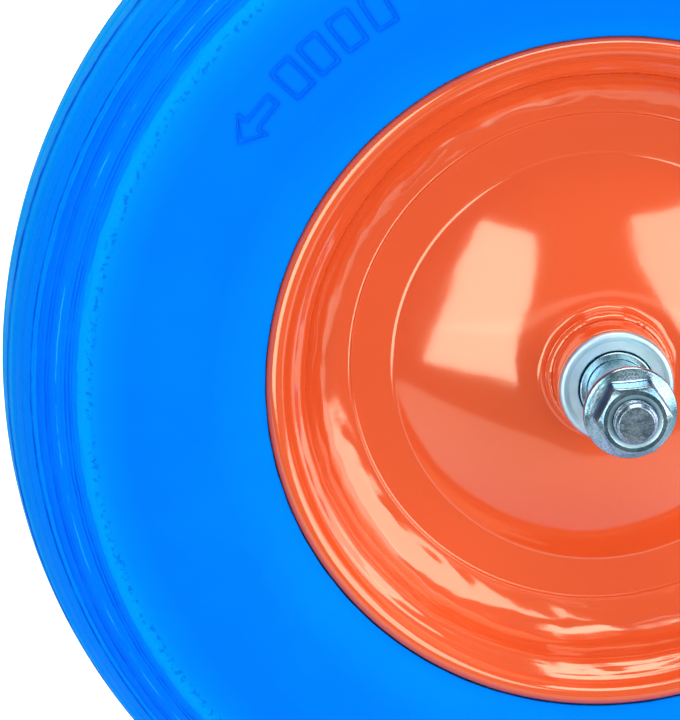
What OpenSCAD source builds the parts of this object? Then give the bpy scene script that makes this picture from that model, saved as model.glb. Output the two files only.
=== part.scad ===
// Wheel for a single-wheel garden barrow: solid foam tyre on a welded
// two-piece steel rim, flanged ball bearings, tubular axle with a through stud.
// Axle along Y, near face towards -Y, +Z up, origin at the wheel's centre.

/* [Tyre] */
// Outer radius at the middle of the tread
tyre_r = 201; // [190:1:205]
// Half of the tyre's width at its fattest point
tyre_half_w = 42; // [40:1:48]
// Radius at which the tyre is fattest
tyre_belly_r = 156; // [150:1:160]
// Squareness of the tyre's shoulder, 2 is round
tyre_square = 2.6; // [2:0.1:3.4]
// Depth of the ribbing grooves on the tread
groove_d = 2.4; // [1:0.1:3]

/* [Rim] */
// Radius over the rolled lip
lip_r = 114.5; // [114:0.1:115]
// Distance from the middle plane to the crest of the lip
lip_s = 29.6; // [29:0.1:32]
// Outer radius of the roll itself
roll_r = 3.4; // [3:0.1:3.8]
// Thickness of the pressed sheet
sheet_t = 2; // [1.6:0.1:2]
// Outer radius of the flat ring where the halves are welded together
ring_out_r = 84.2; // [83:0.1:84.6]
// Inner radius of that flat ring, where the dish starts to rise
ring_in_r = 70.6; // [69:0.1:73]
// Height of the dish above the flat ring
dish_h = 16; // [12:0.5:18]
// How full the dish is, 1 is a plain cone
dish_full = 1.7; // [1.2:0.1:2.2]

/* [Hub] */
// Outer radius of the hub tube
hub_r = 19.45; // [19.2:0.05:19.5]
// Inner radius of the hub tube, the seat of the bearing cups
hub_bore_r = 17; // [16.9:0.05:17.2]
// Half of the hub tube's length
hub_half_l = 37; // [36:0.5:38]

/* [Bearings] */
// Radius over the bearing's flange cover
cover_r = 18.97; // [18.5:0.01:19.2]
// Outer radius of the inner race
race_r = 12.3; // [12.1:0.05:12.4]
// Radius of one ball
ball_r = 2.38; // [2.38:0.01:2.38]
// Radius of the circle through the balls' centres
ball_pitch_r = 13.39; // [13.38:0.01:13.39]
// Number of balls in each bearing
ball_n = 16; // [12:1:16]
// Distance from the middle plane to the ball circle
ball_s = 31.3; // [30:0.1:32]

/* [Axle] */
// Outer radius of the axle tube
axle_r = 10; // [9.9:0.05:10]
// Half of the axle tube's length
axle_half_l = 65.8; // [60:0.1:70]
// Radius of the through stud
stud_r = 7; // [6:0.5:7]
// Half of the stud's length
stud_half_l = 81.6; // [80:0.1:86]

/* [Flange nuts] */
// Width across the flats
nut_af = 22; // [21:0.5:23]
// Total height of the nut
nut_h = 12; // [11:0.1:13]
// Radius of the nut's flange
nut_flange_r = 15.2; // [14.5:0.1:15.5]
// Turn of the near nut about the axle, in degrees
nut_turn = 5.4; // [0:0.1:60]

/* [Hidden] */
$fn = 96;

orange = [0.93, 0.36, 0.16];
zinc = [0.78, 0.82, 0.85];
steel = [0.6, 0.61, 0.63];

// profiles are lists of [radius, distance from the middle plane towards the near side]
module turned(pts) rotate([90, 0, 0]) rotate_extrude() polygon(pts);
module far_side() mirror([0, 1, 0]) children();

function unit(v) = v / norm(v);
function dir_at(p, i) = unit(p[min(i + 1, len(p) - 1)] - p[max(i - 1, 0)]);
// a sheet of thickness t behind the face p
function sheet(p, t) = concat(p, [for (i = [len(p) - 1:-1:0]) let (d = dir_at(p, i)) [p[i][0] - t * d[1], p[i][1] + t * d[0]]]);

// ---- tyre -----------------------------------------------------------------
function belly(r) = tyre_half_w * pow(1 - pow(max(0, (r - tyre_belly_r) / (tyre_r - tyre_belly_r)), tyre_square), 1 / tyre_square);
function crown(s) = tyre_belly_r + (tyre_r - tyre_belly_r) * pow(1 - pow(s / tyre_half_w, tyre_square), 1 / tyre_square);
// two open grooves on the crown of each half, then ribs down the shoulder
crown_pts = concat(
    [for (s = [0, 3, 6]) [crown(s), s]],
    [[crown(7) - groove_d, 7.2], [crown(9) - groove_d, 9.3]],
    [for (s = [10.5, 13.5, 16.5]) [crown(s), s]],
    [[crown(17.5) - groove_d, 17.9], [crown(20) - groove_d, 20]],
    [for (s = [21.2, 23, 25]) [crown(s), s]]);
flank_pts = [for (q = [[197.6, 0], [196.8, 0.9], [196.2, 0.9], [195.4, 0], [193.4, 0], [192.0, 0], [191.6, 0.9], [190.9, 0.3],
                       [189.6, 0.2], [188.2, 0], [187.0, 0], [186.6, 0.9], [186.0, 0.1], [184.4, 0], [182.6, 0.3], [181.2, 0.2],
                       [179.8, 0], [179.4, 0.8], [178.8, 0.1], [177.2, 0.1], [176.6, 0.9], [175.9, 0], [173.6, -0.15]])
    [q[0] - 0.5 * q[1], belly(q[0]) - 0.85 * q[1]]];
wall_pts = [[172.2, belly(172.2) - 0.25], [168, belly(168) - 0.1], [162, belly(162)], [156, 42], [150, 41.7], [143, 40.7],
            [136, 38.9], [130, 36.5], [125, 33.8], [121, 31.2], [118, 29.2], [116, 28], [115.1, 27.2]];
// the foot of the tyre sits in the valley between the two rim halves
foot_pts = [[115.1, 22.2], [108.4, 20.6], [106.2, 19], [104, 16.6], [102.6, 12.4], [101.6, 9.4], [99.4, 6.2], [96, 3.4], [91.4, 1.5], [89.4, 0.9]];
tyre_half = concat(crown_pts, flank_pts, wall_pts, foot_pts);
module tyre() color([0.0, 0.45, 0.95])
    turned(concat(tyre_half, [for (i = [len(tyre_half) - 1:-1:1]) [tyre_half[i][0], -tyre_half[i][1]]]));

// ---- rim ------------------------------------------------------------------
roll_pts = [for (a = [-60:15:150]) [lip_r - roll_r + roll_r * cos(a), lip_s - roll_r + roll_r * sin(a)]];
// inner side of the lip, bead seat and the curve down to the flat ring
channel_pts = [[107.2, 26.1], [106.2, 24.7], [104.3, 23], [102.6, 21.6], [101.4, 20], [100.7, 17.8], [100.1, 15.2],
               [99.2, 12.5], [97.7, 9.9], [95.5, 7.4], [92.6, 5.3], [89.4, 4], [86.9, 3.4], [85.4, 3.15], [84.7, 2.6], [ring_out_r, 2.05]];
dish_pts = [for (k = [0:1:14]) let (r = ring_in_r - (ring_in_r - 23.6) * k / 14, u = (ring_in_r - r) / (ring_in_r - 23.6))
    [r, sheet_t + 0.02 + dish_h * (1 - pow(1 - u, dish_full))]];
dish_top = sheet_t + dish_h;
collar_pts = [[22.6, dish_top + 0.25], [21.9, dish_top + 0.9], [21.55, dish_top + 1.9], [21.5, dish_top + 4.2]];
rim_face = concat(roll_pts, channel_pts, dish_pts, collar_pts);
// everything behind the weld plane is left out, so the halves meet face to face
module rim_half() color(orange) intersection() {
    turned(sheet(rim_face, sheet_t));
    rotate([90, 0, 0]) translate([0, 0, 0.01]) cylinder(r = 130, h = 40);
}

// ---- hub ------------------------------------------------------------------
module hub_tube() color(orange)
    turned([[hub_bore_r, -hub_half_l + 0.5], [hub_bore_r + 0.5, -hub_half_l], [hub_r - 0.4, -hub_half_l], [hub_r, -hub_half_l + 0.4],
            [hub_r, hub_half_l - 0.4], [hub_r - 0.4, hub_half_l], [hub_bore_r + 0.5, hub_half_l], [hub_bore_r, hub_half_l - 0.5]]);
module hub_weld() color(orange)
    turned([[hub_r + 0.02, dish_top + 4.22], [hub_r + 1.75, dish_top + 4.22], [hub_r + 1.55, dish_top + 4.8],
            [hub_r + 1.0, dish_top + 5.4], [hub_r + 0.4, dish_top + 5.8], [hub_r + 0.02, dish_top + 5.9]]);

// ---- bearings ---------------------------------------------------------------
cup_in_r = ball_pitch_r + ball_r + 0.03;
module bearing_cup() color(zinc) difference() {
    turned([[cup_in_r - 2.4, ball_s - 7.2], [hub_bore_r - 0.6, ball_s - 7.2], [hub_bore_r - 0.02, ball_s - 6.6], [hub_bore_r - 0.02, hub_half_l + 0.05],
            [18.3, hub_half_l + 0.05], [18.3, hub_half_l + 1.1], [cup_in_r, hub_half_l + 1.1],
            [cup_in_r, ball_s - 6], [cup_in_r - 2.4, ball_s - 6]]);
}
module bearing_cover() color(zinc)
    turned([[race_r + 0.4, hub_half_l + 1.15], [race_r + 0.4, hub_half_l + 1.7], [race_r + 0.65, hub_half_l + 1.95], [16.2, hub_half_l + 1.95],
            [16.6, hub_half_l + 2.05], [17.2, hub_half_l + 2.3], [17.9, hub_half_l + 2.3], [18.5, hub_half_l + 2.0], [18.85, hub_half_l + 1.5],
            [cover_r, hub_half_l + 0.9], [cover_r, hub_half_l + 0.3], [18.8, hub_half_l + 0.08], [18.36, hub_half_l + 0.08], [18.36, hub_half_l + 1.15]]);
module bearing_race() color(zinc) difference() {
    turned([[axle_r + 0.05, ball_s - 5.7], [race_r, ball_s - 5.7], [race_r, 39.2], [race_r - 0.5, 39.8], [axle_r + 0.5, 39.9], [axle_r + 0.05, 39.5]]);
    rotate([90, 0, 0]) rotate_extrude() translate([ball_pitch_r, ball_s]) circle(r = ball_r + 0.03);
}
module bearing_balls() color(steel)
    for (k = [0:ball_n - 1]) rotate([0, k * 360 / ball_n, 0]) translate([ball_pitch_r, -ball_s, 0]) sphere(r = ball_r);

// ---- axle -------------------------------------------------------------------
shank_half_l = axle_half_l - 8;
// the full radius starts just outside the nut's face
free_end_s = axle_half_l + nut_h + 0.3;
module race_spacer() color(steel)
    turned([[axle_r + 0.05, -ball_s + 5.75], [race_r, -ball_s + 5.75], [race_r, ball_s - 5.75], [axle_r + 0.05, ball_s - 5.75]]);
module axle_tube() color(zinc)
    turned([[stud_r + 0.4, -axle_half_l], [axle_r - 0.4, -axle_half_l], [axle_r, -axle_half_l + 0.4],
            [axle_r, axle_half_l - 0.4], [axle_r - 0.4, axle_half_l], [stud_r + 0.4, axle_half_l]]);
module axle_stud() color(zinc) rotate([90, 0, 0]) union() {
    // reduced shank, the stretch inside each nut, then the free end at full radius
    translate([0, 0, -shank_half_l]) cylinder(r = stud_r - 0.6, h = 2 * shank_half_l);
    for (m = [0, 1]) mirror([0, 0, m]) {
        translate([0, 0, shank_half_l]) cylinder(r = stud_r - 0.2, h = free_end_s - shank_half_l);
        translate([0, 0, free_end_s]) cylinder(r = stud_r, h = stud_half_l - 1.1 - free_end_s);
        translate([0, 0, stud_half_l - 1.1]) cylinder(r1 = stud_r, r2 = stud_r - 1.1, h = 1.1);
    }
}
corner_r = nut_af / 2 / cos(30);
module flange_nut(turn) color(zinc) rotate([90, 0, 0]) translate([0, 0, axle_half_l + 0.02]) difference() {
    union() {
        // the flange, rising in a shallow cone to the flats
        rotate_extrude() polygon([[0, 0], [nut_flange_r - 0.5, 0], [nut_flange_r, 0.5], [nut_flange_r, 2], [nut_flange_r - 0.4, 2.4], [11.2, 4.1], [0, 4.1]]);
        intersection() {
            rotate([0, 0, turn]) cylinder(r = corner_r, h = nut_h, $fn = 6);
            rotate_extrude() polygon([[0, 0], [corner_r + 1, 0], [corner_r + 1, nut_h - (corner_r - 10.2) * 0.577 - 0.577], [10.2, nut_h], [0, nut_h]]);
        }
    }
    translate([0, 0, -1]) cylinder(r = stud_r + 0.05, h = nut_h + 2);
    translate([0, 0, nut_h - 1.0]) cylinder(r1 = stud_r + 0.05, r2 = stud_r + 1.15, h = 1.1);
    translate([0, 0, -0.1]) cylinder(r1 = stud_r + 1.05, r2 = stud_r + 0.05, h = 1.0);
}

tyre();
rim_half();  // rim_half_front
far_side() rim_half();  // rim_half_back
hub_tube();
hub_weld();  // hub_weld_front
far_side() hub_weld();  // hub_weld_back
bearing_cup();  // bearing_cup_front
far_side() bearing_cup();  // bearing_cup_back
bearing_cover();  // bearing_cover_front
far_side() bearing_cover();  // bearing_cover_back
bearing_balls();  // bearing_balls_front
far_side() bearing_balls();  // bearing_balls_back
bearing_race();  // bearing_race_front
far_side() bearing_race();  // bearing_race_back
race_spacer();
axle_tube();
axle_stud();
flange_nut(nut_turn);  // flange_nut_front
far_side() flange_nut(nut_turn + 17);  // flange_nut_back
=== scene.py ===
import math

import bmesh
import bpy
import numpy as np
from mathutils import Matrix, Vector


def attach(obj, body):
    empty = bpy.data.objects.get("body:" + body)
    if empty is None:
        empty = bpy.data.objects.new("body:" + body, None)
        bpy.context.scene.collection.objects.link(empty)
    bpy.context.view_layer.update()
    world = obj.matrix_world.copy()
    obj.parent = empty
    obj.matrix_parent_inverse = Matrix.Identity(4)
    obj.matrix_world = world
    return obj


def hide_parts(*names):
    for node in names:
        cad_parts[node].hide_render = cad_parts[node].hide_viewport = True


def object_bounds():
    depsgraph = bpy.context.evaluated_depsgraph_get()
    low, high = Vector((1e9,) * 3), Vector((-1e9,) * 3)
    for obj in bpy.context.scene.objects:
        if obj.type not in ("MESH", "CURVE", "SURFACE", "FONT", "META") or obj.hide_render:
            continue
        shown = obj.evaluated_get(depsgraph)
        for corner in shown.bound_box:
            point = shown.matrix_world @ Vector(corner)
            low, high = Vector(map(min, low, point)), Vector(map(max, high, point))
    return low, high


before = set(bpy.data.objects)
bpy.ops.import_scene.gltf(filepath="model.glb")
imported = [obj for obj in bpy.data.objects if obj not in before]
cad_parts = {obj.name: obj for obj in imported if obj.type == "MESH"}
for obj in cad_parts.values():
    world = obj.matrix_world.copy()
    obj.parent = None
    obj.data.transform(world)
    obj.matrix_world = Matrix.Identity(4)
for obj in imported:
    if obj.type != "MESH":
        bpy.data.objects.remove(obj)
cad_lo, cad_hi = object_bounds()
MM = 0.001
TAU = 2 * math.pi


# ---------------------------------------------------------------------------
# mesh helpers. Profiles are [radius, s] in millimetres, where s is the distance
# from the wheel's middle plane towards the near side, which faces -Y.
# ---------------------------------------------------------------------------
def area2(p):
    q = np.roll(p, -1, axis=0)
    return float(np.sum(p[:, 0] * q[:, 1] - q[:, 0] * p[:, 1]))


def make_mesh(name, verts, quads, tris=()):
    me = bpy.data.meshes.new(name)
    quads = np.asarray(quads, np.int32).reshape(-1, 4)
    tris = np.asarray(tris, np.int32).reshape(-1, 3)
    me.vertices.add(len(verts))
    me.vertices.foreach_set("co", np.asarray(verts, np.float32).ravel())
    loops = np.concatenate([quads.ravel(), tris.ravel()])
    me.loops.add(len(loops))
    me.loops.foreach_set("vertex_index", loops)
    starts = np.concatenate([np.arange(len(quads)) * 4, len(quads) * 4 + np.arange(len(tris)) * 3])
    me.polygons.add(len(starts))
    me.polygons.foreach_set("loop_start", starts.astype(np.int32))
    me.update(calc_edges=True)
    me.polygons.foreach_set("use_smooth", np.ones(len(starts), bool))
    me.validate()
    ob = bpy.data.objects.new(name, me)
    bpy.context.scene.collection.objects.link(ob)
    return ob


def ring_grid(name, R, S, TH, closed=True, poles=False):
    """Rows along the angle, columns along the profile. R and S are (angles, profile) arrays in mm."""
    nu, nv = R.shape
    V = np.stack([R * np.cos(TH)[:, None], -S, R * np.sin(TH)[:, None]], -1) * MM
    mean = np.stack([R.mean(0), S.mean(0)], -1)
    flip = area2(mean) < 0
    if poles:  # first and last profile points lie on the axis
        body = V[:, 1:-1].reshape(-1, 3)
        n = nv - 2
        verts = np.concatenate([body, V[:, 0].mean(0)[None], V[:, -1].mean(0)[None]])
        i, j = np.meshgrid(np.arange(nu), np.arange(n - 1), indexing="ij")
        a, b = i * n + j, ((i + 1) % nu) * n + j
        q = np.stack([a, b, b + 1, a + 1], -1).reshape(-1, 4)
        k = np.arange(nu)
        k2 = (k + 1) % nu
        t0 = np.stack([np.full(nu, nu * n), k2 * n, k * n], -1)
        t1 = np.stack([np.full(nu, nu * n + 1), k * n + n - 1, k2 * n + n - 1], -1)
        t = np.concatenate([t0, t1])
        if flip:
            q, t = q[:, ::-1], t[:, ::-1]
        return make_mesh(name, verts, q, t)
    verts = V.reshape(-1, 3)
    m = nv if closed else nv - 1
    i, j = np.meshgrid(np.arange(nu), np.arange(m), indexing="ij")
    a = i * nv + j
    b = ((i + 1) % nu) * nv + j
    c = ((i + 1) % nu) * nv + (j + 1) % nv
    d = i * nv + (j + 1) % nv
    q = np.stack([a, b, c, d], -1).reshape(-1, 4)
    if flip:
        q = q[:, ::-1]
    return make_mesh(name, verts, q)


def rounded(pts, seg=5):
    """A closed outline whose corners [r, s, radius] are rounded, with points that hold the flats flat."""
    P = [np.array(p[:2], float) for p in pts]
    rad = [p[2] if len(p) > 2 else 0.0 for p in pts]
    out = []
    n = len(P)
    for i in range(n):
        a, b, c = P[i - 1], P[i], P[(i + 1) % n]
        u, w = a - b, c - b
        lu, lw = np.linalg.norm(u), np.linalg.norm(w)
        u, w = u / lu, w / lw
        cosv = float(np.clip(u @ w, -1, 1))
        ang = math.acos(cosv)
        if rad[i] <= 0 or ang > math.radians(178):
            out.append(b)
            continue
        t = min(rad[i] / math.tan(ang / 2), 0.42 * lu, 0.42 * lw)
        r = t * math.tan(ang / 2)
        s0, s1 = b + u * t, b + w * t
        centre = b + (u + w) / np.linalg.norm(u + w) * (r / math.sin(ang / 2))
        hold = min(0.15 * t + 0.02, 0.04 * min(lu, lw) + 0.01)
        out.append(s0 + u * hold)
        v0, v1 = s0 - centre, s1 - centre
        a0 = math.atan2(v0[1], v0[0])
        da = (math.atan2(v1[1], v1[0]) - a0 + math.pi) % TAU - math.pi
        for k in range(seg + 1):
            q = a0 + da * k / seg
            out.append(centre + r * np.array([math.cos(q), math.sin(q)]))
        out.append(s1 + w * hold)
    return np.array(out)


def curve_through(pts, step):
    """Centripetal Catmull-Rom through the points, sampled about every step mm."""
    P = np.array(pts, float)
    P = np.vstack([2 * P[0] - P[1], P, 2 * P[-1] - P[-2]])
    out = []
    for i in range(1, len(P) - 2):
        p0, p1, p2, p3 = P[i - 1], P[i], P[i + 1], P[i + 2]
        t0 = 0.0
        t1 = t0 + max(np.linalg.norm(p1 - p0), 1e-6) ** 0.5
        t2 = t1 + max(np.linalg.norm(p2 - p1), 1e-6) ** 0.5
        t3 = t2 + max(np.linalg.norm(p3 - p2), 1e-6) ** 0.5
        n = max(2, int(math.ceil(np.linalg.norm(p2 - p1) / step)))
        for t in np.linspace(t1, t2, n, endpoint=False):
            A1 = (t1 - t) / (t1 - t0) * p0 + (t - t0) / (t1 - t0) * p1
            A2 = (t2 - t) / (t2 - t1) * p1 + (t - t1) / (t2 - t1) * p2
            A3 = (t3 - t) / (t3 - t2) * p2 + (t - t2) / (t3 - t2) * p3
            B1 = (t2 - t) / (t2 - t0) * A1 + (t - t0) / (t2 - t0) * A2
            B2 = (t3 - t) / (t3 - t1) * A2 + (t - t1) / (t3 - t1) * A3
            out.append((t2 - t) / (t2 - t1) * B1 + (t - t1) / (t2 - t1) * B2)
    out.append(P[-2])
    return np.array(out)


def normals2(p):
    t = np.gradient(p, axis=0)
    t /= np.maximum(np.linalg.norm(t, axis=1, keepdims=True), 1e-9)
    return np.stack([t[:, 1], -t[:, 0]], -1)


def ring_noise(rng, th, lo, hi, power=0.0):
    """A smooth random function of the angle that closes on itself, about -1 to 1."""
    out = np.zeros_like(th)
    tot = 0.0
    for k in range(lo, hi + 1):
        w = (k / lo) ** -power
        out += w * rng.normal() * np.cos(k * th + rng.uniform(0, TAU))
        tot += w * w
    return out / math.sqrt(tot / 1.0)


def smooth(x, a, b):
    t = np.clip((x - a) / (b - a), 0, 1)
    return t * t * (3 - 2 * t)


def bump1(x, c, w):
    """1 at c, falling smoothly to 0 at c - w and c + w."""
    t = np.clip(1 - np.abs(x - c) / w, 0, 1)
    return t * t * (3 - 2 * t)


def angles(n, turn=0.0):
    return turn + np.arange(n) * TAU / n


def lathe(name, prof, n, wobble=None, mirror=False, turn=0.0):
    p = np.array(prof, float)
    if mirror:
        p = p * [1, -1]
    th = angles(n, turn)
    R = np.repeat(p[None, :, 0], n, 0)
    S = np.repeat(p[None, :, 1], n, 0)
    if wobble is not None:
        R, S = wobble(R, S, th)
    return ring_grid(name, R, S, th)


# ---------------------------------------------------------------------------
# materials
# ---------------------------------------------------------------------------
def new_mat(name):
    m = bpy.data.materials.new(name)
    m.use_nodes = True
    nt = m.node_tree
    nt.nodes.clear()
    out = nt.nodes.new("ShaderNodeOutputMaterial")
    b = nt.nodes.new("ShaderNodeBsdfPrincipled")
    nt.links.new(b.outputs[0], out.inputs[0])
    return m, nt, b


class G:
    """A few node shorthands on one tree."""

    def __init__(self, nt):
        self.nt = nt

    def node(self, kind, **kw):
        n = self.nt.nodes.new(kind)
        for k, v in kw.items():
            setattr(n, k, v)
        return n

    def link(self, a, b):
        self.nt.links.new(a, b)

    def coord(self):
        return self.node("ShaderNodeTexCoord").outputs["Object"]

    def noise(self, vec, scale, detail=2.0, rough=0.5, distortion=0.0):
        n = self.node("ShaderNodeTexNoise")
        n.inputs["Scale"].default_value = scale
        n.inputs["Detail"].default_value = detail
        n.inputs["Roughness"].default_value = rough
        n.inputs["Distortion"].default_value = distortion
        self.link(vec, n.inputs["Vector"])
        return n.outputs["Fac"]

    def math(self, op, a, b=None, c=None, clamp=False):
        n = self.node("ShaderNodeMath", operation=op, use_clamp=clamp)
        for i, v in enumerate((a, b, c)):
            if v is None:
                continue
            if isinstance(v, (int, float)):
                n.inputs[i].default_value = v
            else:
                self.link(v, n.inputs[i])
        return n.outputs[0]

    def span(self, fac, lo, hi, out_lo=0.0, out_hi=1.0):
        n = self.node("ShaderNodeMapRange", interpolation_type="SMOOTHSTEP")
        n.inputs["From Min"].default_value = lo
        n.inputs["From Max"].default_value = hi
        n.inputs["To Min"].default_value = out_lo
        n.inputs["To Max"].default_value = out_hi
        self.link(fac, n.inputs["Value"])
        return n.outputs["Result"]

    def ramp(self, fac, stops, interp="LINEAR"):
        n = self.node("ShaderNodeValToRGB")
        cr = n.color_ramp
        cr.interpolation = interp
        while len(cr.elements) < len(stops):
            cr.elements.new(0.5)
        for e, (pos, col) in zip(cr.elements, stops):
            e.position = pos
            e.color = (*col, 1)
        self.link(fac, n.inputs[0])
        return n.outputs[0]

    def mix(self, fac, a, b, mode="MIX"):
        n = self.node("ShaderNodeMix", data_type="RGBA", blend_type=mode)
        for sock, v in ((n.inputs[0], fac), (n.inputs[6], a), (n.inputs[7], b)):
            if isinstance(v, (int, float)):
                sock.default_value = v
            elif isinstance(v, tuple):
                sock.default_value = (*v, 1)
            else:
                self.link(v, sock)
        return n.outputs[2]

    def radius(self, vec):
        """Distance from the axle, in metres, and the Separate XYZ node it is worked out from."""
        s = self.node("ShaderNodeSeparateXYZ")
        self.link(vec, s.inputs[0])
        x2 = self.math("MULTIPLY", s.outputs[0], s.outputs[0])
        z2 = self.math("MULTIPLY", s.outputs[2], s.outputs[2])
        return self.math("SQRT", self.math("ADD", x2, z2)), s

    def bump(self, height, strength, distance, after=None):
        n = self.node("ShaderNodeBump")
        n.inputs["Strength"].default_value = strength
        n.inputs["Distance"].default_value = distance
        self.link(height, n.inputs["Height"])
        if after is not None:
            self.link(after, n.inputs["Normal"])
        return n.outputs[0]


def tyre_material(name="blue_foam", shade=1.0):
    m, nt, b = new_mat(name)
    g = G(nt)
    v = g.coord()
    r, _ = g.radius(v)
    rw = g.math("ADD", r, g.math("MULTIPLY", g.math("SUBTRACT", g.noise(v, 130, 5, 0.65), 0.5), 0.0016))
    # painted light and shade: bands on the tread lighter or darker as each face leans to the light, one tone on the
    # sidewall, and a painted sheen lighter at the shoulder, by the rim and at the crown's edge where the skin curves
    # away
    x = g.math("DIVIDE", g.math("SUBTRACT", rw, 0.100), 0.102)

    def at(mm):
        return (mm - 100) / 102

    wall = (0.0, 0.163, 0.885)
    stops = [
        (at(112), (0.0, 0.185, 0.83)), (at(117), (0.0, 0.198, 0.87)), (at(124), (0.0, 0.190, 0.885)), (at(133), wall),
        (at(160), wall), (at(168), (0.0, 0.196, 0.90)), (at(171.5), (0.0, 0.235, 0.89)), (at(173.2), (0.0, 0.275, 0.88)),
        (at(176.25), (0.0, 0.290, 0.90)), (at(176.5), (0.0, 0.195, 0.93)), (at(179.6), (0.0, 0.180, 0.96)), (at(183.0), (0.0, 0.172, 0.97)),
        (at(186.9), (0.0, 0.165, 0.97)), (at(189.0), (0.0, 0.165, 0.98)), (at(189.7), (0.0, 0.245, 0.98)), (at(190.7), (0.0, 0.255, 0.97)),
        (at(191.7), (0.0, 0.205, 0.94)), (at(194.5), (0.0, 0.215, 0.92)), (at(196.9), (0.0, 0.235, 0.90)), (at(197.6), (0.0, 0.290, 0.86)),
        (at(198.5), (0.0, 0.260, 0.86)), (at(200.6), (0.0, 0.340, 0.86)),
    ]
    base = g.ramp(x, stops)
    mottle = g.span(g.noise(v, 28, 3, 0.55), 0.35, 0.7)
    base = g.mix(g.math("MULTIPLY", mottle, 0.08), base, (0.0, 0.28, 0.98))
    # painted shade in the moulding lines, darker where the grooves lie in shadow, and the paler thread of flash
    thin = g.math("ADD", r, g.math("MULTIPLY", g.math("SUBTRACT", g.noise(v, 160, 2), 0.5), 0.0005))
    streak = g.span(g.noise(v, 75, 3, 0.6), 0.30, 0.62, 0.35, 1.0)
    for r0, w, amount in ((198.85, 0.46, 0.92), (191.15, 0.46, 0.92), (189.2, 0.38, 0.66), (194.0, 0.28, 0.22), (186.5, 0.46, 0.72), (185.4, 0.32, 0.38),
                          (180.1, 0.40, 0.72), (178.9, 0.38, 0.74), (177.9, 0.28, 0.38)):
        off = g.math("ABSOLUTE", g.math("SUBTRACT", thin, r0 / 1000))
        line = g.span(off, 0.2 * w / 1000, w / 1000, amount, 0.0)
        base = g.mix(g.math("MULTIPLY", line, streak), base, (0.0, 0.050, 0.58))
    off = g.math("ABSOLUTE", g.math("SUBTRACT", thin, 0.1830))
    dash = g.math("MULTIPLY", g.span(off, 0.00008, 0.00030, 0.6, 0.0), g.span(g.noise(v, 48, 3, 0.6), 0.50, 0.60))
    base = g.mix(dash, base, (0.02, 0.46, 0.98))
    # painted shade in the small bubble pits beside the tread's edge: darker specks where the pits lie in shadow
    near = g.span(g.math("ABSOLUTE", g.math("SUBTRACT", rw, 0.1725)), 0.0005, 0.0020, 1.0, 0.0)
    pit_shade = g.span(g.noise(v, 520, 2, 0.55), 0.505, 0.60)
    base = g.mix(g.math("MULTIPLY", g.math("MULTIPLY", pit_shade, near), 0.62), base, (0.0, 0.10, 0.54))
    # fine skin speckle of the foam, stronger on the tread than on the wall
    speck = g.span(g.noise(v, 900, 2, 0.6), 0.42, 0.72)
    tread = g.span(r, 0.1745, 0.1775, 0.03, 0.20)
    base = g.mix(g.math("MULTIPLY", speck, tread), base, (0.0, 0.11, 0.72))
    # painted shade: a darker copy of the foam for the raised marks, standing in for the shade along their thin lines
    if shade < 1:
        base = g.mix(1.0, base, (shade, shade, min(1.0, shade + 0.06)), "MULTIPLY")
    g.link(base, b.inputs["Base Color"])
    b.inputs["Specular IOR Level"].default_value = 0.01
    b.inputs["IOR"].default_value = 1.45
    g.link(g.span(g.noise(v, 60, 3), 0.3, 0.75, 0.52, 0.70), b.inputs["Roughness"])
    h = g.bump(g.noise(v, 1500, 3, 0.6), 0.16, 0.0002)
    h = g.bump(g.noise(v, 55, 2, 0.5), 0.06, 0.0010, h)
    g.link(h, b.inputs["Normal"])
    return m


def paint_material(name="orange_powder_coat"):
    m, nt, b = new_mat(name)
    g = G(nt)
    v = g.coord()
    tone = g.span(g.noise(v, 9, 2, 0.5), 0.30, 0.72)
    base = g.mix(tone, (0.738, 0.0845, 0.0175), (0.778, 0.0945, 0.0205))
    fine = g.span(g.noise(v, 420, 3, 0.6), 0.45, 0.75)
    base = g.mix(g.math("MULTIPLY", fine, 0.05), base, (0.60, 0.050, 0.011))
    g.link(base, b.inputs["Base Color"])
    g.link(g.math("ADD", g.math("MULTIPLY", g.noise(v, 40, 2), 0.05), 0.085), b.inputs["Roughness"])
    b.inputs["IOR"].default_value = 2.1
    b.inputs["Specular Tint"].default_value = (1.0, 0.87, 0.60, 1)
    b.inputs["Coat Weight"].default_value = 0.25
    b.inputs["Coat Roughness"].default_value = 0.04
    b.inputs["Coat IOR"].default_value = 1.5
    # powder coat: fine orange peel over longer, weaker waves
    h = g.bump(g.noise(v, 520, 1, 0.4), 0.16, 0.00005)
    h = g.bump(g.noise(v, 150, 1, 0.4), 0.16, 0.00012, h)
    g.link(h, b.inputs["Normal"])
    g.link(h, b.inputs["Coat Normal"])
    return m


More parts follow.
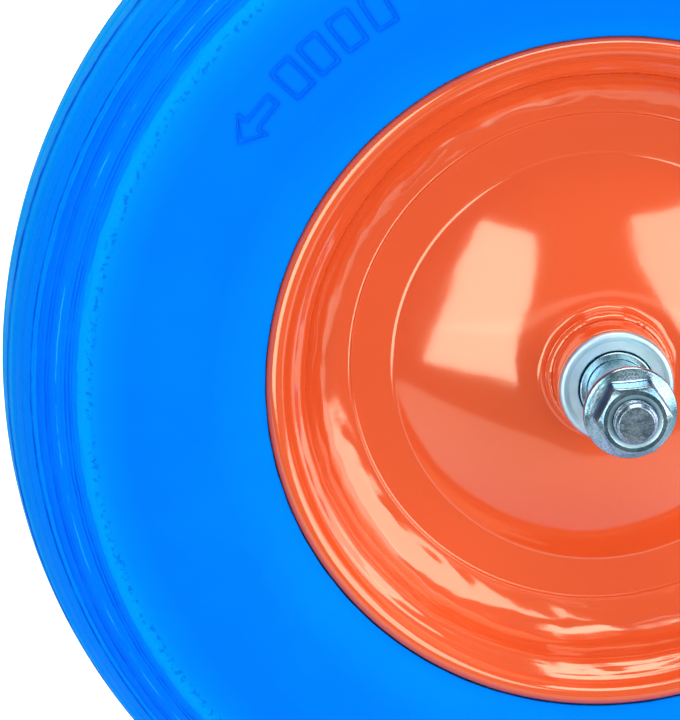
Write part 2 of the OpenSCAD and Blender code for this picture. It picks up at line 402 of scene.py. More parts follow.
def zinc_material(name, dark=(0.40, 0.50, 0.57), light=(0.74, 0.83, 0.89), rough=(0.16, 0.30), speckle=0.0, tint=0.35, fine=1200, bore=0.0):
    m, nt, b = new_mat(name)
    g = G(nt)
    v = g.coord()
    n1 = g.span(g.noise(v, 95, 3, 0.55), 0.3, 0.72)
    base = g.mix(n1, dark, light)
    # thin-film tints of bright zinc: rose, straw and green over the blue
    film = g.ramp(g.noise(v, 60, 2, 0.5, 0.6), [
        (0.30, (0.62, 0.78, 0.92)), (0.44, (0.80, 0.74, 0.86)), (0.54, (0.90, 0.86, 0.78)), (0.66, (0.64, 0.84, 0.80))])
    base = g.mix(tint, base, film, "MULTIPLY")
    if speckle:
        sp = g.span(g.noise(v, 1700, 3, 0.7), 0.44, 0.62)
        base = g.mix(g.math("MULTIPLY", sp, speckle), base, (0.07, 0.12, 0.18))
    rough_fac = g.span(g.noise(v, 300, 3, 0.6), 0.3, 0.75, rough[0], rough[1])
    if bore:  # the countersink round the bore is duller and paler than the faces
        r, _ = g.radius(v)
        inner = g.span(r, bore - 0.0002, bore + 0.0001, 1.0, 0.0)
        base = g.mix(g.math("MULTIPLY", inner, 0.8), base, (0.55, 0.76, 0.80))
        rough_fac = g.math("ADD", rough_fac, g.math("MULTIPLY", inner, 0.34))
    g.link(base, b.inputs["Base Color"])
    b.inputs["Metallic"].default_value = 1.0
    g.link(rough_fac, b.inputs["Roughness"])
    h = g.bump(g.noise(v, fine, 3, 0.6), 0.14 + 0.3 * speckle, 0.00008)
    g.link(h, b.inputs["Normal"])
    return m


def steel_material():
    m, nt, b = new_mat("bearing_steel")
    g = G(nt)
    v = g.coord()
    g.link(g.mix(g.span(g.noise(v, 200, 3), 0.3, 0.7), (0.42, 0.43, 0.45), (0.62, 0.63, 0.65)), b.inputs["Base Color"])
    b.inputs["Metallic"].default_value = 1.0
    g.link(g.span(g.noise(v, 500, 2), 0.3, 0.7, 0.12, 0.28), b.inputs["Roughness"])
    g.link(g.bump(g.noise(v, 1500, 2), 0.08, 0.00005), b.inputs["Normal"])
    return m


M_TYRE = tyre_material()
M_PAINT = paint_material()
# the marks use a darker copy of the foam, as painted shade along the raised lines
M_MARK = tyre_material("blue_foam_marks", 0.80)
M_COVER = zinc_material("zinc_pressed", (0.52, 0.73, 0.83), (0.64, 0.84, 0.93), (0.44, 0.54), 0.0, 0.30)
M_RACE = zinc_material("zinc_ground", (0.30, 0.48, 0.56), (0.52, 0.74, 0.83), (0.20, 0.34), 0.0, 0.35)
M_NUT = zinc_material("zinc_nut", (0.19, 0.38, 0.47), (0.47, 0.68, 0.77), (0.15, 0.26), 0.50, 0.30, bore=0.0088)
M_STUD = zinc_material("zinc_stud", (0.26, 0.40, 0.48), (0.54, 0.67, 0.75), (0.22, 0.36), 0.60, 0.30)
M_STEEL = steel_material()


def finish_piece(ob, mat, body, slot, *nodes):
    ob.data.materials.append(mat)
    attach(ob, body)
    if nodes:
        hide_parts(*nodes)
    return ob


# ---------------------------------------------------------------------------
# tyre
# ---------------------------------------------------------------------------
TYRE_R, BELLY_R, HALF_W, SQ = 200.9, 156.0, 41.9, 2.6


def tyre_base():
    """Near half of the outer skin, from the middle of the tread down to the rim, as dense points."""
    t = np.linspace(0, math.pi / 2, 6000)
    s = HALF_W * np.sin(t) ** (2 / SQ)
    r = BELLY_R + (TYRE_R - BELLY_R) * np.cos(t) ** (2 / SQ)
    crown = np.stack([r, s], -1)
    wall = curve_through([[156, 41.9], [150, 41.6], [143, 40.6], [136, 38.8], [130, 36.45], [125, 33.75], [121, 31.15], [118, 29.45], [116.4, 28.9], [115.1, 28.55], [114.35, 28.15], [114.6, 27.2], [114.8, 26.0], [114.8, 23.4]], 0.05)
    return np.vstack([crown, wall[1:]])


def sample(curve, spacing):
    """Picks points along the curve with spacing(r, s) mm between them."""
    seg = np.linalg.norm(np.diff(curve, axis=0), axis=1)
    dens = 1 / spacing(curve[:-1, 0], curve[:-1, 1])
    c = np.concatenate([[0], np.cumsum(seg * dens)])
    n = int(round(c[-1]))
    want = np.linspace(0, c[-1], n + 1)
    return np.stack([np.interp(want, c, curve[:, k]) for k in (0, 1)], -1)


def build_tyre():
    rng = np.random.default_rng(41)
    n = 1260
    th = angles(n)
    base = tyre_base()

    def spacing(r, s):
        d = np.full_like(r, 2.2)
        d = np.where(s < 22, 0.75, d)
        d = np.where((r < 199.6) & (r > 171.0) & (s > 22), 0.42, d)
        d = np.where((r > 171.0) & (s >= 14) & (s <= 22), 0.5, d)
        d = np.where(r < 122, 0.8, d)
        return d

    half = sample(base, spacing)
    nrm = normals2(half)
    if nrm[0, 0] < 0:
        nrm = -nrm
    rr, ss = half[:, 0], half[:, 1]
    flank = ss > 22.0

    def skin(rng):
        T = th[:, None]
        d = np.zeros((n, len(half)))
        # two open grooves on the crown of each half
        for a, b2, deep in ((7.0, 9.5, 2.3), (17.9, 18.9, 1.3)):
            d -= (deep * smooth(ss, a - 0.5, a + 0.35) * (1 - smooth(ss, b2 - 0.35, b2 + 0.5)) * (~flank))[None]
        # thin witness line along the middle of the tread
        d += (0.0 + 0.12 * bump1(ss, 0.0, 0.7))[None] - 0.12
        # fine moulding lines on the shoulder, each waving a little as it goes round
        for r0, w, depth in ((196.6, 0.6, 0.16), (194.0, 0.5, 0.12), (191.15, 0.75, 0.60), (189.2, 0.6, 0.36), (186.5, 0.7, 0.50),
                             (185.4, 0.5, 0.16), (182.0, 0.5, 0.20), (180.1, 0.6, 0.44), (178.9, 0.6, 0.44), (177.9, 0.4, 0.16)):
            wave = 0.10 * ring_noise(rng, th, 5, 40, 0.6)[:, None]
            deep = (1 + 0.35 * ring_noise(rng, th, 12, 90, 0.3))[:, None]
            d -= depth * np.clip(deep, 0.25, 1.6) * bump1(rr[None] + wave, r0, w) * flank[None]
        # steps between the bands make each face lean its own way
        for r0, w, h in ((197.6, 1.3, 0.16), (190.2, 0.7, 0.26), (187.6, 0.8, 0.12), (184.3, 0.9, 0.10)):
            d += h * bump1(rr, r0, w)[None] * flank[None]
        # broken thread of flash
        dash = np.clip(ring_noise(rng, th, 9, 46, 0.2) * 1.1 - 0.1, 0, 1)[:, None]
        d += 0.26 * dash * bump1(rr[None] + 0.12 * ring_noise(rng, th, 4, 30, 0.5)[:, None], 183.0, 0.55) * flank[None]
        # ragged edge where the tread skin stops, 0.45 mm below the wall
        edge = 176.4 + 0.42 * ring_noise(rng, th, 9, 60, 0.5)[:, None] + 0.16 * ring_noise(rng, th, 80, 260, 0.1)[:, None]
        d -= 0.42 * smooth(rr[None], edge - 0.25, edge + 0.35) * (1 - smooth(rr[None], 198.2, 199.4)) * flank[None]
        # a roll just inside that edge
        d += 0.16 * bump1(rr, 174.6, 1.9)[None] * flank[None]
        # small pits beside it
        for _ in range(620):
            a, r0 = rng.uniform(0, TAU), 172.6 + rng.normal() * 0.75
            if rng.uniform() < 0.15:
                r0 -= rng.uniform(0, 4)
            w, depth = rng.uniform(0.45, 0.8), rng.uniform(0.08, 0.26)
            j = np.abs(rr - r0) < w
            k = np.abs((th - a + math.pi) % TAU - math.pi) * r0 < w * 1.3
            if not (j.any() and k.any()):
                continue
            da = ((th[k] - a + math.pi) % TAU - math.pi) * r0
            q = np.sqrt((da[:, None] / 1.25) ** 2 + (rr[j][None] - r0) ** 2) / w
            d[np.ix_(k, j)] -= depth * np.clip(1 - q, 0, 1) * flank[j][None]
        # the wall itself is not quite true
        soft = (0.10 * ring_noise(rng, th, 3, 11, 0.4)[:, None] * bump1(rr, 145, 26)[None]
                + 0.05 * ring_noise(rng, th, 20, 60, 0.4)[:, None] * smooth(200 - rr, 4, 40)[None])
        d += soft - 0.12
        return d

    rows = []
    for sign in (1, -1):
        d = skin(np.random.default_rng(41 if sign > 0 else 77))
        R = rr[None] + d * nrm[None, :, 0]
        S = sign * (ss[None] + d * nrm[None, :, 1])
        rows.append((R, S))
    foot = np.array([[114.75, 22.6], [108.3, 20.5], [106.1, 18.9], [103.9, 16.5], [102.5, 12.3], [101.5, 9.3], [99.4, 6.1], [96.0, 3.3], [91.6, 1.4], [89.6, 0.0]])
    foot = foot + [0.1, 0.0]
    Rf = np.repeat(foot[None, :, 0], n, 0)
    Sf = np.repeat(foot[None, :, 1], n, 0)
    # near half, down the foot, then up the far half; the loop closes over the tread
    R = np.concatenate([rows[0][0], Rf, Rf[:, -2::-1], rows[1][0][:, :0:-1]], 1)
    S = np.concatenate([rows[0][1], Sf, -Sf[:, -2::-1], rows[1][1][:, :0:-1]], 1)
    S[:, 0] = 0.0
    ob = ring_grid("foam_tyre", R, S, th)
    return finish_piece(ob, M_TYRE, "wheel", "tyre_foam", "tyre")


def wall_s(r):
    c = tyre_base()[::-1]
    keep = c[:, 0] < 176
    return np.interp(r, c[keep, 0], c[keep, 1])


def bead(name, loops, height, body, mirror=False):
    """Thin raised lines on the sidewall. Each loop is a list of [arc mm, radius mm] points, closed."""
    verts, quads, base = [], [], 0
    k = 8
    for loop in loops:
        P = np.array(loop, float)
        pts = []
        for a, b in zip(P, np.roll(P, -1, axis=0)):
            m = max(1, int(math.ceil(np.linalg.norm(b - a) / 0.8)))
            for t in np.arange(m) / m:
                pts.append(a + (b - a) * t)
        pts = np.array(pts)
        for _ in range(2):  # soften the corners
            pts = 0.25 * np.roll(pts, 1, axis=0) + 0.5 * pts + 0.25 * np.roll(pts, -1, axis=0)
        th = pts[:, 0] / 149.0
        r = pts[:, 1]
        s = wall_s(r) - 0.02
        C = np.stack([r * np.cos(th), -s, r * np.sin(th)], -1)
        T = np.roll(C, -1, axis=0) - np.roll(C, 1, axis=0)
        T /= np.linalg.norm(T, axis=1, keepdims=True)
        ds = (wall_s(r + 0.5) - wall_s(r - 0.5))
        N = np.stack([-ds * np.cos(th), -np.ones_like(r), -ds * np.sin(th)], -1)
        N /= np.linalg.norm(N, axis=1, keepdims=True)
        B = np.cross(T, N)
        m = len(C)
        for i in range(k):
            q = TAU * i / k
            verts.append(C + 0.27 * math.cos(q) * B + height * math.sin(q) * N)
        for i in range(k):
            a = base + i * m + np.arange(m)
            b = base + i * m + (np.arange(m) + 1) % m
            c = base + ((i + 1) % k) * m + (np.arange(m) + 1) % m
            d = base + ((i + 1) % k) * m + np.arange(m)
            quads.append(np.stack([a, b, c, d], -1))
        base += k * m
    V = np.concatenate(verts) * MM
    Q = np.concatenate(quads)
    if mirror:
        V = V * [1, -1, 1]
        Q = Q[:, ::-1]
    ob = make_mesh(name, V, Q)
    bm = bmesh.new()
    bm.from_mesh(ob.data)
    bmesh.ops.recalc_face_normals(bm, faces=bm.faces)
    bm.to_mesh(ob.data)
    bm.free()
    for p in ob.data.polygons:
        p.use_smooth = True
    return finish_piece(ob, M_MARK, body, "tyre_foam")


def side_marks():
    """Plain outline blocks and a turning arrow, in place of any lettering."""
    mid, half = 149.0, 6.6

    def block(deg, w, inset=0.0):
        c, h = math.radians(deg) * mid, half - inset
        w = w / 2 - inset
        return [[c - w, mid - h], [c + w, mid - h], [c + w, mid + h], [c - w, mid + h]]

    def arrow(deg, w, inset=0.0):
        c = math.radians(deg) * mid
        tip, tail, neck = c + w / 2 - 1.9 * inset, c - w / 2 + inset, c + w / 2 - 8.5 + inset
        bar, head = 2.7 - inset, half - 1.35 * inset
        return [[tail, mid - bar], [neck, mid - bar], [neck, mid - head], [tip, mid], [neck, mid + head], [neck, mid + bar], [tail, mid + bar]]

    out = []
    for turn in (0.0, 180.0):
        for inset in (0.0, 1.15):
            out += [arrow(143.4 + turn, 19.0, inset)] + [block(d + turn, 8.4, inset) for d in (136.4, 132.1, 127.6, 123.0)]
    return out


build_tyre()
for nm, mir in (("sidewall_marks_front", False), ("sidewall_marks_back", True)):
    bead(nm, side_marks(), 0.22, "wheel", mir)

# ---------------------------------------------------------------------------
# rim halves: one pressed sheet each, with the small waves that pressing leaves
# ---------------------------------------------------------------------------
LIP_R, LIP_S, ROLL, SHEET = 114.5, 29.6, 3.4, 2.0
RING_OUT, RING_IN, DISH_H, DISH_FULL = 84.2, 70.6, 16.0, 1.7
roll = np.array([[LIP_R - ROLL + ROLL * math.cos(math.radians(a)), LIP_S - ROLL + ROLL * math.sin(math.radians(a))] for a in range(-60, 151, 6)])
channel_ctl = [[107.2, 26.1], [106.2, 24.7], [104.3, 23], [102.6, 21.6], [101.4, 20], [100.7, 17.8], [100.1, 15.2],
               [99.2, 12.5], [97.7, 9.9], [95.5, 7.4], [92.6, 5.3], [89.4, 4], [86.9, 3.4], [85.5, 3.15]]


def dish_s(r):
    u = np.clip((RING_IN - r) / (RING_IN - 23.6), 0, 1)
    return SHEET + 0.02 + DISH_H * (1 - (1 - u) ** DISH_FULL)


def rim_face():
    start = roll[-1]
    channel = curve_through([list(start)] + channel_ctl, 0.42)[1:]
    step = rounded([[85.5, 3.15, 0], [84.98, 3.32, 0.6], [84.35, 2.06, 0.8], [82.0, SHEET + 0.03, 0], [82, -20, 0], [85.5, -20, 0]], 6)
    step = step[step[:, 1] > 0][1:]
    flat = np.array([[r, SHEET + 0.03] for r in (81.5, 79.5, 77, 74.5, 72.6, 71.75)])
    # the corner at the foot of the dish is a small cove
    slope = DISH_H * DISH_FULL / (RING_IN - 23.6)
    cove = []
    rc = 2.8
    a1 = math.atan(slope)
    t = rc * math.tan(a1 / 2)
    for k in range(12):
        q = a1 * k / 11
        cove.append([RING_IN + t - rc * math.sin(q), SHEET + 0.03 + rc * (1 - math.cos(q))])
    dr = np.concatenate([np.linspace(RING_IN - t - 0.35, 68, 5), np.linspace(67, 25.0, 62)])
    dish = np.stack([dr, dish_s(dr)], -1)
    collar = curve_through([[24.4, 17.98], [23.5, 18.02], [22.75, 18.2], [22.15, 18.62], [21.78, 19.25], [21.58, 20.1], [21.5, 21.2], [21.46, 22.0]], 0.16)
    lip_end = np.array([[21.3, 22.19], [21.0, 22.2]])
    return np.vstack([roll, channel, step, flat, np.array(cove), dish, collar, lip_end])


def sheet_back():
    dish = [[RING_IN - (RING_IN - 23.6) * k / 14, float(dish_s(RING_IN - (RING_IN - 23.6) * k / 14))] for k in range(15)]
    face = np.array([list(p) for p in roll[::3]] + channel_ctl + [[84.7, 2.6], [RING_OUT, 2.05]] + dish + [[22.6, 18.25], [21.9, 18.9], [21.55, 19.9], [21.5, 22.2]])
    d = np.array([face[min(i + 1, len(face) - 1)] - face[max(i - 1, 0)] for i in range(len(face))])
    d /= np.linalg.norm(d, axis=1, keepdims=True)
    back = np.stack([face[:, 0] - SHEET * d[:, 1], face[:, 1] + SHEET * d[:, 0]], -1)
    back[:, 1] = np.maximum(back[:, 1], 0.02)
    return back[::-1]


def build_rim(name, node, mirror, seed):
    face = rim_face()
    nrm = normals2(face)
    if nrm[len(face) // 2, 1] < 0:
        nrm = -nrm
    back = sheet_back()
    back[0, 0] = max(back[0, 0], 19.5)
    n = 480
    th = angles(n)
    rng = np.random.default_rng(seed)
    r = face[:, 0]
    d = np.zeros((n, len(face)))
    inside = smooth(r, 85.9, 88.5) * (1 - smooth(r, 103.5, 106.0))
    # pressing marks in the channel: short waves round it and across it
    for lo, hi, wl, amp in ((14, 34, 13.0, 0.075), (24, 60, 7.0, 0.030), (6, 18, 21.0, 0.10)):
        a = ring_noise(rng, th, lo, hi, 0.2)[:, None]
        b = ring_noise(rng, th, lo, hi, 0.2)[:, None]
        d += amp * (a * np.cos(TAU * r / wl)[None] + b * np.sin(TAU * r / wl)[None]) * inside[None]
    # draw rings on the bead seat
    for r0, w, h in ((103.4, 0.8, -0.05), (105.0, 0.7, 0.06)):
        d += h * bump1(r, r0, w)[None]
    # the dish and ring are nearly true
    centre = smooth(r, 26, 34) * (1 - smooth(r, 64, 69))
    for lo, hi, wl, amp in ((3, 9, 34.0, 0.030), (7, 20, 19.0, 0.010)):
        a = ring_noise(rng, th, lo, hi, 0.3)[:, None]
        b = ring_noise(rng, th, lo, hi, 0.3)[:, None]
        d += amp * (a * np.cos(TAU * r / wl)[None] + b * np.sin(TAU * r / wl)[None]) * centre[None]
    ring = smooth(r, 71.5, 74) * (1 - smooth(r, 80.5, 83))
    d += 0.018 * ring_noise(rng, th, 3, 12, 0.3)[:, None] * ring[None]
    # the collar is drawn up a little unevenly
    top = 1 - smooth(r, 21.6, 24.0)
    d += 0.10 * ring_noise(rng, th, 3, 16, 0.5)[:, None] * top[None] - 0.06 * top[None]
    # the rolled lip has slight flats
    d += 0.030 * ring_noise(rng, th, 5, 22, 0.4)[:, None] * smooth(r, 107, 110)[None] - 0.03 * smooth(r, 107, 110)[None]
    R = np.concatenate([face[None, :, 0] + d * nrm[None, :, 0], np.repeat(back[None, :, 0], n, 0)], 1)
    S = np.concatenate([face[None, :, 1] + d * nrm[None, :, 1], np.repeat(back[None, :, 1], n, 0)], 1)
    if mirror:
        S = -S
    ob = ring_grid(name, R, S, th)
    return finish_piece(ob, M_PAINT, "wheel", "rim_paint", node)


build_rim("rim_pressing_front", "rim_half_front", False, 5)
build_rim("rim_pressing_back", "rim_half_back", True, 9)

# hub tube
hub = rounded([[17.0, -36.9, 0.4], [19.45, -36.9, 0.5], [19.45, 36.9, 0.5], [17.0, 36.9, 0.4]], 5)
finish_piece(lathe("hub_tube_painted", hub, 256), M_PAINT, "wheel", "rim_paint", "hub_tube")


# weld beads: laid by hand, so they swell and thin as they go round
def build_weld(name, node, mirror, seed):
    rng = np.random.default_rng(seed)
    prof = [[19.48, 22.24]]
    for a in np.linspace(0, math.pi / 2, 9):
        prof.append([19.5 + 1.62 * math.cos(a), 22.24 + 1.55 * math.sin(a)])
    prof.append([19.48, 23.7])
    p = np.array(prof)
    n = 420
    th = angles(n)
    swell = 1 + 0.10 * ring_noise(rng, th, 4, 14, 0.4) + 0.05 * ring_noise(rng, th, 30, 70, 0.2)
    lap = 0.10 * smooth(np.cos(th - math.radians(96)), 0.90, 0.99)
    R = 19.48 + (p[None, :, 0] - 19.48) * np.clip(swell + lap, 0.7, 1.12)[:, None]
    S = 22.24 + (p[None, :, 1] - 22.24) * np.clip(swell + 2 * lap, 0.7, 1.12)[:, None]
    if mirror:
        S = -S
    return finish_piece(ring_grid(name, R, S, th), M_PAINT, "wheel", "rim_paint", node)


build_weld("hub_weld_bead_front", "hub_weld_front", False, 21)
build_weld("hub_weld_bead_back", "hub_weld_back", True, 22)

# ---------------------------------------------------------------------------
# bearings and axle
# ---------------------------------------------------------------------------
cover = rounded([[12.75, 38.15, 0.1], [12.75, 38.75, 0.25], [13.2, 38.95, 0.5], [15.9, 38.95, 0.8], [16.7, 39.2, 0.7], [17.5, 39.28, 1.2], [18.45, 39.0, 0.9], [18.93, 38.2, 0.5],
                 [18.95, 37.35, 0.2], [18.8, 37.1, 0.1], [18.38, 37.1, 0.05], [18.38, 38.15, 0.1]], 5)
race = rounded([[10.06, 25.7, 0.2], [12.28, 25.7, 0.2], [12.28, 27.2, 0.1], [10.9, 28.8, 0.3], [10.9, 33.8, 0.3], [12.28, 35.4, 0.1], [12.28, 39.75, 0.45], [10.06, 39.75, 0.3]], 5)
for side, mir in (("front", False), ("back", True)):
    finish_piece(lathe(f"pressed_cover_{side}", cover, 224, mirror=mir), M_COVER, "wheel", "zinc", f"bearing_cover_{side}")
    finish_piece(lathe(f"inner_race_{side}", race, 192, mirror=mir), M_RACE, "axle", "zinc", f"bearing_race_{side}")

tube = rounded([[7.42, -65.78, 0.35], [9.98, -65.78, 0.45], [9.98, -45, 0], [9.98, -41, 0], [9.98, 41, 0], [9.98, 45, 0], [9.98, 65.78, 0.45], [7.42, 65.78, 0.35]], 5)
finish_piece(lathe("axle_tube_plated", tube, 192), M_RACE, "axle", "zinc", "axle_tube")


def build_stud():
    """M14 x 2 stud: a real helix on both ends, a plain waist inside the tube, sawn and chamfered ends."""
    rng = np.random.default_rng(3)
    n = 288
    th = angles(n)
    pitch, major, depth = 2.0, 6.98, 1.15
    rows = []  # (kind, r, s)
    end = []
    for q in np.linspace(0, 5.35, 22):
        end.append(("end", q, 81.56))
    end += [("cham", 5.62, 81.54), ("cham", 5.80, 81.46), ("cham", 5.92, 81.34), ("cham", 6.25, 81.02), ("cham", 6.62, 80.66), ("cham", 6.98, 80.32)]
    thread_s = np.arange(80.25, 74.0, -0.10)
    half = end + [("thread", 0, s) for s in thread_s] + [("plain", 6.35, 73.4), ("plain", 6.35, 60), ("plain", 6.35, 30), ("plain", 6.35, 10)]
    rows = half + [(k, r, -s) for k, r, s in half[::-1]]
    R = np.zeros((n, len(rows)))
    S = np.zeros((n, len(rows)))
    rough = {1: rng, -1: np.random.default_rng(4)}
    noise2 = {}
    for j, (kind, r, s) in enumerate(rows):
        S[:, j] = s
        if kind in ("cham", "thread"):
            ph = (abs(s) / pitch - math.copysign(1, s) * th / TAU) % 1.0
            tri = 1 - np.abs(2 * ph - 1)
            cut = np.clip((tri - 0.14) / 0.72, 0, 1)
            crest = major - depth * cut
            if kind == "cham":
                R[:, j] = np.minimum(r, np.maximum(crest, 5.92 if r <= 5.92 else 0)) if r > 5.92 else r
            else:
                R[:, j] = crest
            # the thread runs out towards the waist
            if kind == "thread" and abs(s) < 75.2:
                f = (75.2 - abs(s)) / 1.2
                R[:, j] = R[:, j] * (1 - f) + 6.35 * f
        else:
            R[:, j] = r
        if kind == "end":
            sg = 1 if s > 0 else -1
            x, z = r * np.cos(th), r * np.sin(th)
            if sg not in noise2:
                g = rough[sg]
                noise2[sg] = [(g.normal(size=2) * 2.6, g.uniform(0, TAU)) for _ in range(26)]
            hgt = np.zeros(n)
            for kv, phs in noise2[sg]:
                hgt += np.cos(kv[0] * x + kv[1] * z + phs)
            S[:, j] = s + sg * (0.018 * hgt / math.sqrt(13) - 0.05)
    ob = ring_grid("threaded_stud", R, S, th, poles=True)
    return finish_piece(ob, M_STUD, "axle", "zinc", "axle_stud")


build_stud()


def build_nut(name, node, turn_deg, mirror):
    """Flanged hexagon nut: rounded flange rim, cone up to the flats, bevelled hexagon, 30 degree chamfer, countersunk bore."""
    n = 720
    base_s, height = 65.82, 12.0
    af = 21.96 / 2
    th = angles(n, 0.0)
    rel = (np.degrees(th) - turn_deg) % 60.0
    hexr = af / np.cos(np.radians(rel - 30.0))
    # rel 0 is a corner, where the radius is largest
    sharp = 12.52
    hexr = np.where(hexr > sharp - 0.5, sharp - 0.5 + 0.5 * np.tanh((hexr - sharp + 0.5) / 0.5), hexr)
    hexr = np.minimum(hexr, 12.6)
    top_r = 10.25

    def chamfer_s(r):
        return height - np.maximum(r - top_r, 0) * 0.577

    def cone_s(r):
        return 4.50 - (r - 11.2) * 0.58

    cols = []

    def add(r, s):
        cols.append((np.broadcast_to(r, (n,)).astype(float), np.broadcast_to(s, (n,)).astype(float)))

    # bore, from the bottom up
    for r, s in ((8.0, 0.02), (7.5, 0.45), (7.12, 0.9), (7.08, 1.2), (7.08, 5), (7.08, 10.4), (7.12, 10.7), (7.2, 11.0), (7.32, 11.28), (7.55, 11.44), (8.0, 11.62), (8.4, 11.78), (8.7, 11.89), (8.88, 11.985)):
        add(r, s)
    for r in (9.0, 9.3, 9.6, 9.85, 10.05):
        add(r, height - 0.0)
    add(10.2, height - 0.02)
    add(10.35, height - 0.07)
    add(10.5, height - 0.15)
    for f in (0.12, 0.35, 0.6, 0.8, 0.92):
        r = 10.55 + (hexr - 10.55 - 0.22) * f
        add(r, chamfer_s(r))
    edge = chamfer_s(hexr)
    for a in (0.0, 0.25, 0.5, 0.75, 1.0):
        q = a * math.pi / 2
        add(hexr - 0.18 * (1 - math.sin(q)), edge - 0.10 + 0.16 * math.cos(q) - 0.30 * a)
    foot = cone_s(hexr)
    for f in (0.08, 0.35, 0.65, 0.90):
        add(hexr, (edge - 0.5) * (1 - f) + (foot + 0.55) * f)
    for a in (0.0, 0.3, 0.6, 1.0):
        q = a * math.pi / 2
        add(hexr + 0.5 * (1 - math.cos(q)), foot + 0.5 * (1 - math.sin(q)) + 0.0 - 0.22 * a)
    for f in (0.25, 0.5, 0.75):
        r = (hexr + 0.6) * (1 - f) + 14.55 * f
        add(r, cone_s(r))
    for r, s in ((14.62, 2.47), (14.8, 2.40), (14.98, 2.26), (15.1, 2.05), (15.16, 1.8), (15.17, 1.3), (15.16, 0.7), (15.1, 0.45), (14.95, 0.22), (14.7, 0.08), (14.4, 0.03), (12.0, 0.03), (9.0, 0.03)):
        add(r, s)
    R = np.stack([c[0] for c in cols], 1)
    S = np.stack([c[1] for c in cols], 1) + base_s
    if mirror:
        S = -S
    return finish_piece(ring_grid(name, R, S, th), M_NUT, "axle", "zinc", node)


build_nut("hex_flange_nut_front", "flange_nut_front", 5.4, False)
build_nut("hex_flange_nut_back", "flange_nut_back", -22.4, True)

# pieces that keep their CAD shape
for node, mat in (("bearing_cup_front", M_RACE), ("bearing_cup_back", M_RACE), ("bearing_balls_front", M_STEEL), ("bearing_balls_back", M_STEEL), ("race_spacer", M_STEEL)):
    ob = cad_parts[node]
    ob.data.materials.clear()
    ob.data.materials.append(mat)

# ---------------------------------------------------------------------------
# floor, light, camera
# ---------------------------------------------------------------------------
fm, fnt, fb = new_mat("studio_floor")
fg = G(fnt)
fcol = fg.mix(fg.span(fg.noise(fg.coord(), 3, 2), 0.3, 0.7), (0.88, 0.88, 0.88), (0.91, 0.91, 0.91))
fg.link(fcol, fb.inputs["Base Color"])
fb.inputs["Roughness"].default_value = 0.9
fb.inputs["Specular IOR Level"].default_value = 0.0
# a white sheet, no larger than the part of it that is lit, so that it runs into the white wall
sheet = bpy.data.meshes.new("studio_floor")
sheet.from_pydata([(x, y, cad_lo.z - 0.0004) for x, y in ((-1.0, -0.30), (1.0, -0.30), (2.1, 0.60), (2.1, 4.0), (-2.1, 4.0), (-2.1, 0.60))], [], [(0, 1, 2, 3, 4, 5)])
floor = bpy.data.objects.new("studio_floor", sheet)
bpy.context.scene.collection.objects.link(floor)
floor.data.materials.append(fm)

# a dim room with a white wall: the wall is what the camera sees, the dim room is what lights the wheel
world = bpy.data.worlds.new("studio")
bpy.context.scene.world = world
world.use_nodes = True
wnt = world.node_tree
bg = wnt.nodes["Background"]
bg.inputs["Color"].default_value = (0.90, 0.95, 1.0, 1)
path = wnt.nodes.new("ShaderNodeLightPath")
level = wnt.nodes.new("ShaderNodeMapRange")
level.inputs["To Min"].default_value = 0.225
level.inputs["To Max"].default_value = 1.12
wnt.links.new(path.outputs["Is Camera Ray"], level.inputs["Value"])
wnt.links.new(level.outputs["Result"], bg.inputs["Strength"])


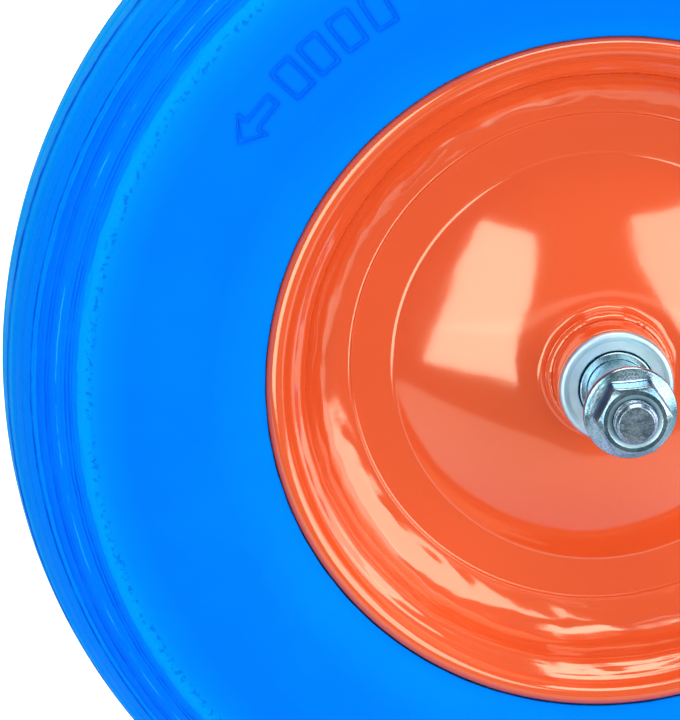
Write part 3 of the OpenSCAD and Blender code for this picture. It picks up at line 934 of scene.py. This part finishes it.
def softbox(name, az, el, dist, w, h, radiance, target=(0, 0, 0), lean=0.0, roll=0.0):
    """A rectangular light seen from the target at that azimuth (0 is -Y, + is +X) and elevation.
    lean tips its top away from the target and roll turns it clockwise as seen from there, in degrees."""
    a, e = math.radians(az), math.radians(el)
    pos = np.array(target) + dist * np.array([math.sin(a) * math.cos(e), -math.cos(a) * math.cos(e), math.sin(e)])
    L = bpy.data.lights.new(name, "AREA")
    L.shape = "RECTANGLE"
    L.size, L.size_y = w, h
    L.energy = radiance * math.pi * w * h
    ob = bpy.data.objects.new(name, L)
    bpy.context.scene.collection.objects.link(ob)
    aim = (Vector(target) - Vector(pos)).to_track_quat("-Z", "Y").to_matrix().to_4x4()
    ob.matrix_world = Matrix.Translation(Vector(pos)) @ aim @ Matrix.Rotation(math.radians(roll), 4, "Z") @ Matrix.Rotation(math.radians(lean), 4, "X")
    ob.visible_camera = False
    return ob


boxes = [
    softbox("left_box", -26.6, 14.4, 1.05, 0.445, 1.17, 3.75, lean=52.8, roll=-7.6),
    softbox("right_box", 41.5, 12, 0.95, 0.82, 0.73, 3.1),
    softbox("right_fill", 78, 8, 0.95, 0.46, 0.62, 1.9),
    softbox("back_left", 140, 30, 1.6, 1.0, 1.0, 2.6),
    softbox("back_right", -140, 30, 1.6, 1.0, 1.0, 2.6),
    softbox("top", 0, 72, 1.9, 1.4, 1.4, 4.2),
    softbox("low_front", 180, -89.9, 1.0, 4.4, 3.2, 0.62, target=(0, -3.5, cad_lo.z + 1.0)),
]
washes = [
    softbox("floor_wash_near", 180, 89.9, 0.2, 2.4, 0.5, 0.80, target=(0, -0.12, cad_lo.z)),
    softbox("floor_wash_back", 180, 89.9, 0.6, 4.4, 3.8, 3.0, target=(0, 2.22, cad_lo.z)),
]
# the boxes light the wheel and not the floor, the washes light the floor and not the wheel
only_floor = bpy.data.collections.new("floor_only")
only_floor.objects.link(floor)
for ob in washes:
    ob.light_linking.receiver_collection = only_floor
no_floor = bpy.data.collections.new("all_but_floor")
no_floor.objects.link(floor)
for entry in no_floor.collection_objects:
    entry.light_linking.link_state = "EXCLUDE"
for ob in boxes:
    ob.light_linking.receiver_collection = no_floor

cam = bpy.data.cameras.new("camera")
cam.lens = 180
cam.sensor_width = 36
cam.sensor_fit = "AUTO"
cam.clip_start, cam.clip_end = 0.05, 100
cam_ob = bpy.data.objects.new("camera", cam)
bpy.context.scene.collection.objects.link(cam_ob)
right, up, back_v = (0.9970043, -0.0746, 0.0204271), (0.0, 0.2641, 0.9644953), (-0.0773462, -0.961606, 0.2633088)
cam_ob.matrix_world = Matrix(((right[0], up[0], back_v[0], -0.18137), (right[1], up[1], back_v[1], -1.16166), (right[2], up[2], back_v[2], 0.31703), (0, 0, 0, 1)))
bpy.context.scene.camera = cam_ob
bpy.context.scene.view_settings.view_transform = "Standard"
bpy.context.scene.view_settings.look = "None"
